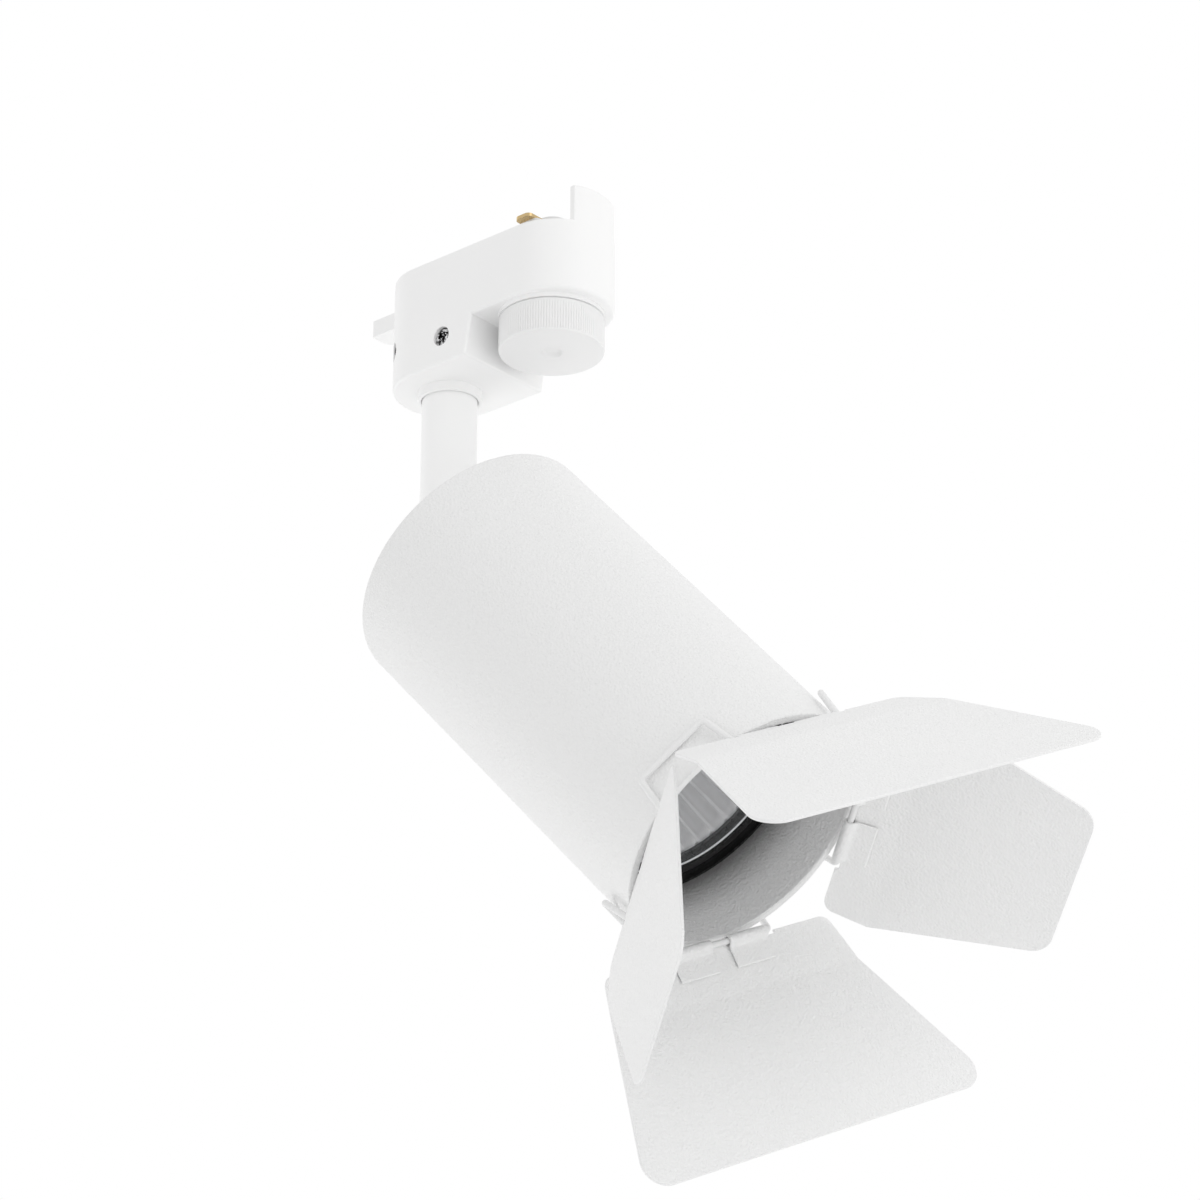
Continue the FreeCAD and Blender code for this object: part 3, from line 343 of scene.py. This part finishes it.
def turned(bm, outline, count, radius=None):
    """Revolves (r, z) points about Z; radius(r, z, angle) may shape the section."""
    rows = []
    for r, z in outline:
        if r == 0:
            rows.append([(0, 0, z)])
            continue
        row = []
        for i in range(count):
            a = 2 * math.pi * i / count
            q = radius(r, z, a) if radius else r
            row.append((q * math.cos(a), q * math.sin(a), z))
        rows.append(row)
    return grid_surface(bm, rows)


# ------------------------------------------------------------------ barn-door leaves
def rounded_outline(corners):
    """Points round a polygon whose (x, y, radius) corners are arcs."""
    points = []
    for i, (x, y, radius) in enumerate(corners):
        here = Vector((x, y))
        into = (Vector(corners[i - 1][:2]) - here).normalized()
        out = (Vector(corners[(i + 1) % len(corners)][:2]) - here).normalized()
        if radius == 0:
            points.append(here)
            continue
        half = into.angle(out) / 2
        centre = here + (into + out).normalized() * radius / math.sin(half)
        start, end = here + into * radius / math.tan(half), here + out * radius / math.tan(half)
        steps = 10
        a, b = (start - centre), (end - centre)
        sweep = a.angle_signed(b)
        for k in range(steps + 1):
            turn = Matrix.Rotation(-sweep * k / steps, 2)
            points.append(centre + turn @ a)
    return points


def folded(shape, along, lift):
    """Place in the leaf's section of a point at that length of flat sheet."""
    bend, soft = math.radians(shape["bend"]), BEND_HALF
    low = KNUCKLE_R - SHEET_T
    past = along - shape["bend_at"]
    if past <= -soft:
        return along, low + lift
    turn = bend * min(1.0, (past + soft) / (2 * soft))
    steps = 12
    y, z = shape["bend_at"] - soft, low
    travelled = min(past + soft, 2 * soft)
    for k in range(steps):
        part = bend * (travelled * (k + 0.5) / steps) / (2 * soft)
        y += travelled / steps * math.cos(part)
        z += travelled / steps * math.sin(part)
    rest = max(0.0, past - soft)
    y += rest * math.cos(turn) - lift * math.sin(turn)
    z += rest * math.sin(turn) + lift * math.cos(turn)
    return y, z


def slice_sheet(bm, point, normal):
    """Cuts every face along a plane, so that the sheet can bend there."""
    everything = bm.verts[:] + bm.edges[:] + bm.faces[:]
    bmesh.ops.bisect_plane(bm, geom=everything, plane_co=point, plane_no=normal)


def leaf_sheet(bm, shape):
    """The flat sheet, extruded, softened and cut across, then folded."""
    right = [(KNUCKLE_GAP_HALF, MIDDLE_EDGE, 0.0), (KNUCKLE_GAP_HALF, HINGE_EDGE, 0.0),
             (LEG_SPACE, HINGE_EDGE, 0.0), (LEG_SPACE, OUTER_EDGE, 0.0),
             (shape["hinge"], OUTER_EDGE, 3.0), (shape["fold"], shape["bend_at"], 0.0),
             (shape["tip"], shape["length"], 5.0)]
    corners = right + [(-x, y, r) for x, y, r in right[::-1]]
    rim = [bm.verts.new((p.x, p.y, 0)) for p in rounded_outline(corners)]
    face = bm.faces.new(rim)
    face.normal_update()
    if face.normal.z > 0:
        face.normal_flip()
    grown = bmesh.ops.extrude_face_region(bm, geom=[face])
    lifted = [v for v in grown["geom"] if isinstance(v, bmesh.types.BMVert)]
    bmesh.ops.translate(bm, verts=lifted, vec=(0, 0, SHEET_T))
    edges = [e for e in bm.edges if abs(e.verts[0].co.z - e.verts[1].co.z) < 0.01]
    bmesh.ops.bevel(bm, geom=edges, offset=SHEET_SOFT, segments=3, profile=0.5, affect="EDGES")
    cuts = [shape["bend_at"] + BEND_HALF * k / FINE_CUTS for k in range(-FINE_CUTS, FINE_CUTS + 1)]
    cuts += [6.0, 20.0, 30.0, 40.0]
    for y in cuts:
        slice_sheet(bm, (0, y, 0), (0, 1, 0))
    for x in (-24, -12, 0, 12, 24):
        slice_sheet(bm, (x, 0, 0), (1, 0, 0))
    for v in bm.verts:
        y, z = folded(shape, v.co.y, v.co.z)
        v.co = (v.co.x, y, z)


def curl(bm, x0, x1):
    """Strip cut from the sheet, rolled round the pin and laid back along its inner face."""
    path = [(1.9, CURL_R), (1.0, CURL_R), (0.5, CURL_R)]
    for degrees in range(90, 331, 12):
        a = math.radians(degrees)
        path.append((CURL_R * math.cos(a), CURL_R * math.sin(a)))
    path += [(1.15, -0.2), (1.42, 0.02), (1.75, 0.17), (2.3, 0.2), (3.2, 0.16), (TAB_END - 0.3, CURL_LIFT)]
    half = STRIP_T / 2
    upper, lower = [], []
    for i, p in enumerate(path):
        a, b = Vector(path[max(i - 1, 0)]), Vector(path[min(i + 1, len(path) - 1)])
        normal = Vector((-(b - a).y, (b - a).x)).normalized() * half
        upper.append(Vector(p) + normal)
        lower.append(Vector(p) - normal)
    loop = upper + [Vector((TAB_END, CURL_LIFT))] + lower[::-1]
    rows = []
    inset = 0.1
    for x, shrink in ((x0, inset), (x0 + inset, 0), (x1 - inset, 0), (x1, inset)):
        row = []
        for i, q in enumerate(loop):
            middle = q
            if i != len(path):
                middle = Vector(path[min(i, len(loop) - 1 - i)])
            if (middle - q).length > 1e-6:
                q = q + (middle - q).normalized() * shrink
            row.append((x, *q))
        rows.append(row)
    made = grid_surface(bm, rows)
    bm.faces.new(made[0][::-1])
    bm.faces.new(made[-1])


def leaf(name, around, opening, shape):
    """One leaf: the folded sheet and its two rolled knuckles."""
    bm = bmesh.new()
    leaf_sheet(bm, shape)
    for x in (KNUCKLE_GAP_HALF, -KNUCKLE_GAP_HALF - KNUCKLE_LEN):
        curl(bm, x, x + KNUCKLE_LEN)
    bmesh.ops.recalc_face_normals(bm, faces=bm.faces[:])
    place = leaf_place(around, opening)
    piece(name + "_leaf", bm, place, name + "_door", "white_coat", "leaf_" + name)


for name, (around, opening, shape) in LEAVES.items():
    leaf(name, around, opening, shape)


# ------------------------------------------------------------------ lock knob and collar
def knob():
    """Knurled disc with a dimple in its lower face."""
    flutes, depth = 120, 0.22

    def fluted(r, z, a):
        if r < KNOB_R - 0.01 or not KNOB_BOTTOM + 0.4 < z < KNOB_TOP - 0.4:
            return r
        return r - depth * max(0.0, math.cos(flutes * a)) ** 3

    low, top, edge = KNOB_BOTTOM, KNOB_TOP + KNOB_RISE, 0.35
    dimple = [(0, low + 0.95), (1.2, low + 0.93), (1.9, low + 0.85), (2.2, low + 0.6),
              (2.35, low + 0.2), (2.45, low + 0.06), (2.62, low)]
    lower_edge = [(6.0, low), (KNOB_R - edge - 0.1, low), (KNOB_R - edge * 0.5, low + 0.06),
                  (KNOB_R - 0.1, low + 0.2), (KNOB_R - 0.02, low + 0.39), (KNOB_R, low + 0.6)]
    upper_edge = [(KNOB_R, (low + top) / 2), (KNOB_R, top - 0.6), (KNOB_R - 0.02, top - 0.39),
                  (KNOB_R - 0.1, top - 0.2), (KNOB_R - edge, top), (5.0, top), (0, top)]
    outline = dimple + lower_edge + upper_edge
    bm = bmesh.new()
    turned(bm, outline, flutes * 8, fluted)
    bmesh.ops.recalc_face_normals(bm, faces=bm.faces[:])
    piece("knob_grip", bm, at(KNOB_X, 0, 0), "lock", "knob_plastic", "lock_knob")


def collar():
    """Bush round the stem, open in the middle."""
    low = BLOCK_BOTTOM - COLLAR_T
    inner = STEM_R + 0.12
    flange = [(inner, low + 0.25), (inner + 0.12, low + 0.06), (inner + 0.25, low), (COLLAR_R - 0.28, low),
              (COLLAR_R - 0.1, low + 0.1), (COLLAR_R, low + 0.35), (COLLAR_R, BLOCK_BOTTOM)]
    sleeve_r, sleeve_top = 7.0, BLOCK_BOTTOM + 2.8
    sleeve = [(sleeve_r, BLOCK_BOTTOM), (sleeve_r, sleeve_top), (inner, sleeve_top)]
    outline = flange + sleeve
    bm = bmesh.new()
    turned(bm, outline + outline[:1], 128)
    bmesh.ops.remove_doubles(bm, verts=bm.verts[:], dist=0.0005)
    bmesh.ops.recalc_face_normals(bm, faces=bm.faces[:])
    piece("stem_bush", bm, at(STEM_X, 0, 0), "adapter", "adapter_plastic", "stem_collar")


knob()
collar()


# ------------------------------------------------------------------ screws with a star recess
def star_screw(bm, place, radius, dome, depth, length, shank):
    """Pan-head screw about Z with its head's top near z 0 and a six-lobed recess."""
    def recess(r, z, a):
        return r * (1 + 0.17 * math.cos(6 * a)) if r < radius * 0.56 else r

    inner = radius * 0.5
    socket = [(0, -depth), (inner * 0.6, -depth), (inner * 0.9, -depth), (inner, -depth + 0.08),
              (inner * 1.02, -0.05), (inner * 1.09, 0)]
    head = [(radius * 0.72, -dome * 0.25), (radius * 0.88, -dome * 0.6), (radius, -dome), (radius, -length)]
    outline = socket + head + [(shank, -length), (shank, -length - 1.5), (0, -length - 1.5)]
    part = bmesh.new()
    turned(part, outline, 72, recess)
    bmesh.ops.recalc_face_normals(part, faces=part.faces[:])
    bmesh.ops.transform(part, matrix=place, verts=part.verts[:])
    mesh = bpy.data.meshes.new("screw_part")
    part.to_mesh(mesh)
    part.free()
    bm.from_mesh(mesh)
    bpy.data.meshes.remove(mesh)


def pointing(origin, direction):
    """Place with its Z axis along that direction."""
    turn = Vector((0, 0, 1)).rotation_difference(direction)
    return Matrix.Translation(origin) @ turn.to_matrix().to_4x4()


def side_screws():
    """Both recessed screws; a sharp light and dark pattern stands in for their sockets' reflections."""
    bm = bmesh.new()
    turn = math.radians(END_SCREW_TURN)
    outward = Vector((math.cos(turn), math.sin(turn), 0))
    on_end = Vector((STEM_X, 0, END_SCREW_Z)) + outward * ADAPTER_R
    on_side = Vector((SIDE_SCREW_X, -ADAPTER_R, SIDE_SCREW_Z))
    for start, out in ((on_side, Vector((0, -1, 0))), (on_end, outward)):
        star_screw(bm, pointing(start - out * 0.35, out), SIDE_SCREW_R - 0.1, 0.4, 1.0, 0.95, 1.2)
    painted_reflection_steel = Finish("steel_painted_reflections", (0.22, 0.22, 0.225), 0.12, metallic=1.0)
    painted_reflection_steel.rough_between(painted_reflection_steel.noise(0.9, 3.0), 0.06, 0.2)
    painted_reflection_steel.bump(painted_reflection_steel.noise(0.7, 2.0), 0.06)
    # painted reflection: sharp near-black and light patches in the colour, over a dark base
    painted_reflection_steel.tint(painted_reflection_steel.noise(0.9, 2.0), (0.02, 0.02, 0.02), (0.85, 0.85, 0.86), 0.47, 0.56)
    place = Matrix.Identity(4)
    piece("socket_screws", bm, place, "adapter", "chrome_steel", "side_screws", finish=painted_reflection_steel.material)


side_screws()


# ------------------------------------------------------------------ lamp
def reflector():
    """Fluted bowl: hollow flutes that fade towards the neck and end in a scalloped rim.

    Painted highlights: a vertex value is high along the ridges and the rim, where the finish is painted
    brighter and less metallic.
    """
    flutes, per = 36, 10
    neck, rim, steps = 46.0, LAMP_FRONT - 3.0, 26
    rows, ridges = [], []
    for inside in (True, False):
        order = range(steps + 1) if inside else range(steps, -1, -1)
        for k in order:
            t = k / steps
            r = 9.0 + (LAMP_R - 9.2) * t ** 0.55 - (1.6 if inside else 0.0)
            hollow = 0.95 * min(1.0, 0.1 + 1.2 * t) if inside else 0.0
            row, ridge_highlight = [], []
            for i in range(flutes * per):
                a = 2 * math.pi * i / (flutes * per)
                # painted highlight along each flute's ridge, stronger towards the rim
                along_ridge = max(0.0, math.cos(flutes * a - 1.0)) ** 5 * (0.3 + 0.7 * t)
                near_rim = max(0.0, t - 0.93) * 13
                ridge_highlight.append(max(along_ridge, near_rim))
                q = r - hollow * (1 - abs(math.sin(flutes * a / 2)))
                end = 0.8 * abs(math.sin(flutes * a / 2)) * (t ** 8) if inside else 0.8
                row.append((q * math.cos(a), q * math.sin(a), neck + (rim - 0.8 - neck) * t + end))
            rows.append(row)
            ridges.append(ridge_highlight)
    bm = bmesh.new()
    painted_highlight = bm.verts.layers.float.new("painted_highlight")
    for made, values in zip(grid_surface(bm, rows, closed_columns=True), ridges):
        for vert, value in zip(made, values):
            vert[painted_highlight] = value
    bmesh.ops.recalc_face_normals(bm, faces=bm.faces[:])
    facets = Finish("chrome_painted_highlights", (0.95, 0.95, 0.96), 0.12, metallic=0.6)
    facets.rough_between(facets.noise(2.0, 2.0), 0.08, 0.2)
    facets.bump(facets.noise(3.0, 1.0), 0.12)
    # painted highlights: brighter colour and less metal along the ridges and the rim
    ridge_highlight = facets.new("ShaderNodeAttribute", attribute_name="painted_highlight").outputs["Fac"]
    facets.tint(ridge_highlight, (0.86, 0.86, 0.87), (0.99, 0.99, 1.0), 0.1, 0.8)
    facets.tree.links.new(facets.mapped(ridge_highlight, 0.4, 0.05, 0.1, 0.8), facets.shader.inputs["Metallic"])
    finish = facets.material
    piece("fluted_reflector", bm, HEAD, "head", "reflector_chrome", "lamp_reflector", finish=finish)


def cover_glass():
    """Slightly domed pane, and its ground edge as a ring of its own."""
    back, front = LAMP_FRONT - GLASS_BACK, LAMP_FRONT - GLASS_FRONT
    pane = [(0, back), (GLASS_R - 0.35, back), (GLASS_R - 0.35, front - 0.25), (18.0, front - 0.1),
            (9.0, front), (0, front)]
    edge = [(GLASS_R - 0.34, front - 0.3), (GLASS_R - 0.05, front - 0.3), (GLASS_R, front - 0.2),
            (GLASS_R - 0.08, front + 0.02), (GLASS_R - 0.24, front + 0.04), (GLASS_R - 0.34, front - 0.1)]
    bm = bmesh.new()
    turned(bm, pane, 128)
    bmesh.ops.recalc_face_normals(bm, faces=bm.faces[:])
    piece("cover_glass", bm, HEAD, "head", "lamp_glass", "lamp_glass")
    bm = bmesh.new()
    turned(bm, edge + edge[:1], 160)
    bmesh.ops.remove_doubles(bm, verts=bm.verts[:], dist=0.0005)
    bmesh.ops.recalc_face_normals(bm, faces=bm.faces[:])
    ground = Finish("ground_glass", (0.9, 0.91, 0.92), 0.2)
    ground.rough_between(ground.noise(0.8, 3.0), 0.12, 0.3)
    ground.bump(ground.noise(0.3, 2.0), 0.01)
    piece("glass_edge", bm, HEAD, "head", "lamp_glass", finish=ground.material)


def soften(name, width):
    """Small rounded edge on a CAD node, so that it catches the light."""
    edge = NODES[name].modifiers.new("soft_edge", "BEVEL")
    edge.width = width * MM
    edge.segments = 3
    edge.limit_method = "ANGLE"
    edge.angle_limit = math.radians(35)
    edge.use_clamp_overlap = True


reflector()
cover_glass()
for name in ("lamp_gasket", "retaining_ring"):
    soften(name, 0.2)


# ------------------------------------------------------------------ floor, light and camera
floor_mesh = bpy.data.meshes.new("studio_floor")
floor_bm = bmesh.new()
grid_surface(floor_bm, [[(-6, y, 0), (6, y, 0)] for y in (-6, 6)], closed_rows=False)
floor_bm.to_mesh(floor_mesh)
floor_bm.free()
floor = bpy.data.objects.new("studio_floor", floor_mesh)
floor.location = (0, 0, -1.0)
bpy.context.scene.collection.objects.link(floor)
floor_finish = Finish("pale_floor", (0.76, 0.76, 0.76), 0.8)
floor_finish.rough_between(floor_finish.noise(400.0, 2.0), 0.75, 0.9)
floor_mesh.materials.append(floor_finish.material)

world = bpy.data.worlds.new("studio")
bpy.context.scene.world = world
world.use_nodes = True
tree = world.node_tree
path = tree.nodes.new("ShaderNodeLightPath")
seen = tree.nodes.new("ShaderNodeBackground")
seen.inputs["Color"].default_value = (1, 1, 1, 1)
seen.inputs["Strength"].default_value = 1.0
ambient = tree.nodes["Background"]
ambient.name = "ambient"
ambient.inputs["Color"].default_value = (1, 1, 1, 1)
ambient.inputs["Strength"].default_value = 0.81
pick = tree.nodes.new("ShaderNodeMixShader")
tree.links.new(path.outputs["Is Camera Ray"], pick.inputs[0])
tree.links.new(ambient.outputs[0], pick.inputs[1])
tree.links.new(seen.outputs[0], pick.inputs[2])
tree.links.new(pick.outputs[0], tree.nodes["World Output"].inputs["Surface"])

LIGHT_CENTRE = Vector((0.045, 0.015, -0.11))
NEAR_LAMP, FAR_LAMP = (0.99, 0.9), (1.5, 1.3)   # distance and diameter, in metres
LIGHTS = {
    "soft_far_left": ((-0.851, 0, -0.526), 7.5),
    "soft_back_left": ((-0.526, 0.851, 0), 1.5),
    "soft_low_right": ((0.851, 0, -0.526), 3.7),
    "soft_under": ((0, 0.526, -0.851), 1.8),
    "soft_key": ((0.25, -0.85, -0.47), 3.4),
    "soft_top_left": ((-0.851, 0, 0.526), 1.0),
    "soft_top_back": ((0, 0.526, 0.851), 1.7),
    "soft_back": ((0.526, 0.851, 0), 1.9),
    "soft_top_right": ((0.851, 0, 0.526), 2.8),
}
for name, (towards, watts) in LIGHTS.items():
    towards = Vector(towards).normalized()
    # a lamp below hangs closer and is smaller, to stay above the floor
    near = towards.z < -0.7
    data = bpy.data.lights.new(name, "AREA")
    data.shape = "DISK"
    distance, data.size = NEAR_LAMP if near else FAR_LAMP
    data.energy = watts
    lamp = bpy.data.objects.new(name, data)
    lamp.location = LIGHT_CENTRE + towards * distance
    lamp.rotation_mode = "QUATERNION"
    lamp.rotation_quaternion = towards.to_track_quat("Z", "Y")
    lamp.visible_camera = False
    bpy.context.scene.collection.objects.link(lamp)

CAMERA_PLACE = (0.544253, -0.592198, -0.424966)
CAMERA_HEADING, CAMERA_PITCH, CAMERA_ROLL = 41.0135, 23.1189, 0.2047
camera_data = bpy.data.cameras.new("camera")
camera_data.lens = 120.0
camera_data.sensor_width = 36.0
camera_data.clip_start = 0.05
camera_data.clip_end = 50.0
camera = bpy.data.objects.new("camera", camera_data)
heading = Matrix.Rotation(math.radians(CAMERA_HEADING), 4, "Z")
pitch = Matrix.Rotation(math.radians(90 + CAMERA_PITCH), 4, "X")
roll = Matrix.Rotation(math.radians(CAMERA_ROLL), 4, "Z")
camera.matrix_world = Matrix.Translation(CAMERA_PLACE) @ (heading @ pitch @ roll)
bpy.context.scene.collection.objects.link(camera)
bpy.context.scene.camera = camera

bpy.context.scene.view_settings.view_transform = "Standard"
